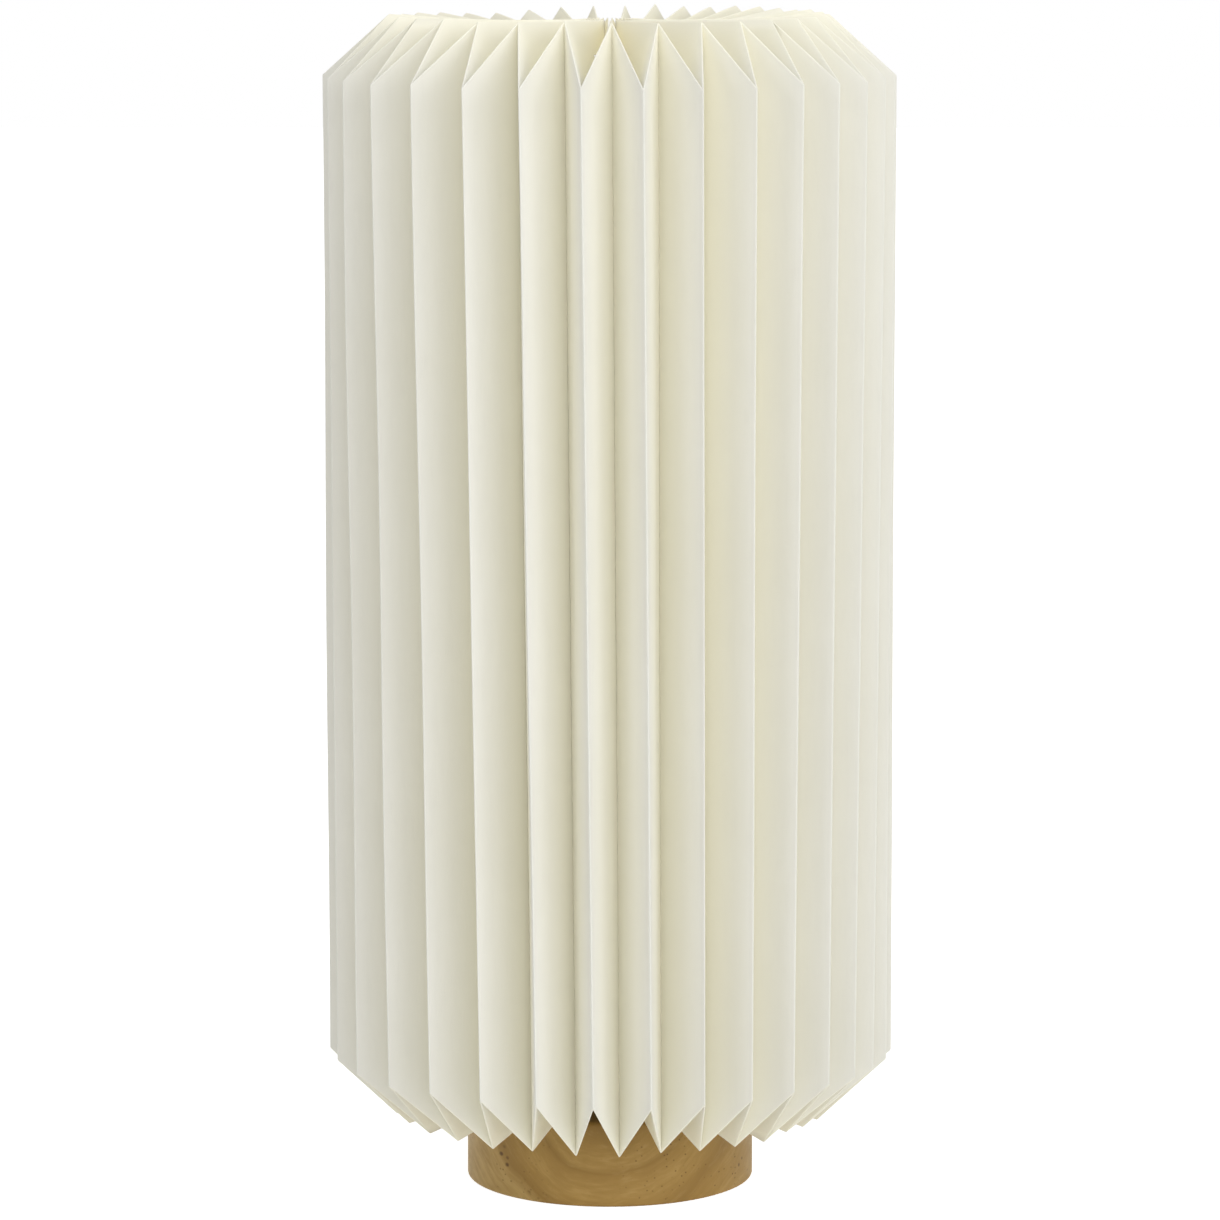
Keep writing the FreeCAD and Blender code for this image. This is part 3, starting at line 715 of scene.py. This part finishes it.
# --- stage, light, camera ---------------------------------------------------
def background_rays(tree):
    """1 where the background is seen directly, mirrored in metal or through glass."""
    path = tree.nodes.new("ShaderNodeLightPath")
    value = path.outputs["Is Camera Ray"]
    for ray in ("Is Glossy Ray", "Is Transmission Ray"):
        either = tree.nodes.new("ShaderNodeMath")
        either.operation = "MAXIMUM"
        tree.links.new(value, either.inputs[0])
        tree.links.new(path.outputs[ray], either.inputs[1])
        value = either.outputs["Value"]
    return value


def stage():
    mesh = bpy.data.meshes.new("floor")
    corners = [(x * FLOOR_HALF, y * FLOOR_HALF, 0) for x, y in ((-1, -1), (1, -1), (1, 1), (-1, 1))]
    mesh.from_pydata(corners, [], [(0, 1, 2, 3)])
    floor = bpy.data.objects.new("floor", mesh)
    bpy.context.collection.objects.link(floor)
    n = Nodes("floor", (0.9, 0.9, 0.9), 0.9)
    mesh.materials.append(n.mat)
    # seen or mirrored, the floor is lifted to white, and only the lamp's shadow stays below it
    lift = n.add("ShaderNodeEmission")
    lift.inputs["Color"].default_value = (1, 1, 1, 1)
    n.link(n.math("MULTIPLY", background_rays(n.tree), FLOOR_LIFT), lift.inputs["Strength"])
    both = n.add("ShaderNodeAddShader")
    n.link(n.shader.outputs["BSDF"], both.inputs[0])
    n.link(lift.outputs["Emission"], both.inputs[1])
    n.link(both.outputs["Shader"], n.tree.nodes["Material Output"].inputs["Surface"])


def area_light(name, place, aim, size, power):
    data = bpy.data.lights.new(name, "AREA")
    data.shape = "RECTANGLE"
    data.size, data.size_y = size
    data.energy = power
    obj = bpy.data.objects.new(name, data)
    bpy.context.collection.objects.link(obj)
    obj.location = place
    obj.rotation_euler = (Vector(aim) - Vector(place)).to_track_quat("-Z", "Y").to_euler()


def lights():
    # a row of soft panels in front, the strongest on the right
    for number, (turn, power) in enumerate(PANELS):
        angle = math.radians(turn)
        place = polar(PANEL_BACK, angle, PANEL_HEIGHT)
        area_light(f"panel_{number + 1}", place, PANEL_AIM, PANEL_SIZE, power)
    area_light("top", TOP_PLACE, TOP_AIM, TOP_SIZE, TOP_POWER)
    world = bpy.data.worlds.new("world")
    bpy.context.scene.world = world
    world.use_nodes = True
    nodes = world.node_tree.nodes
    links = world.node_tree.links
    back = nodes["Background"]
    back.inputs["Color"].default_value = (1, 1, 1, 1)
    back.inputs["Strength"].default_value = AMBIENT
    white = nodes.new("ShaderNodeBackground")
    white.inputs["Color"].default_value = (1, 1, 1, 1)
    white.inputs["Strength"].default_value = 1.0
    mix = nodes.new("ShaderNodeMixShader")
    links.new(background_rays(world.node_tree), mix.inputs["Fac"])
    links.new(back.outputs["Background"], mix.inputs[1])
    links.new(white.outputs["Background"], mix.inputs[2])
    links.new(mix.outputs["Shader"], nodes["World Output"].inputs["Surface"])


def camera():
    data = bpy.data.cameras.new("camera")
    data.sensor_fit = "HORIZONTAL"
    data.sensor_width = SENSOR_MM
    data.lens = FOCAL_PX / FRAME_PX * SENSOR_MM
    data.shift_y = SHIFT
    data.clip_end = 50
    obj = bpy.data.objects.new("camera", data)
    bpy.context.collection.objects.link(obj)
    obj.location = (0, -CAMERA_BACK, CAMERA_HEIGHT)
    obj.rotation_euler = (math.pi / 2 - CAMERA_PITCH, 0, 0)
    bpy.context.scene.camera = obj


MATERIALS = make_materials()
dress_nodes()
shade_sheets()
seam_strips()
bulb_thread()
shell_thread()
felt_disc()
stage()
lights()
camera()
bpy.context.scene.view_settings.view_transform = "Standard"
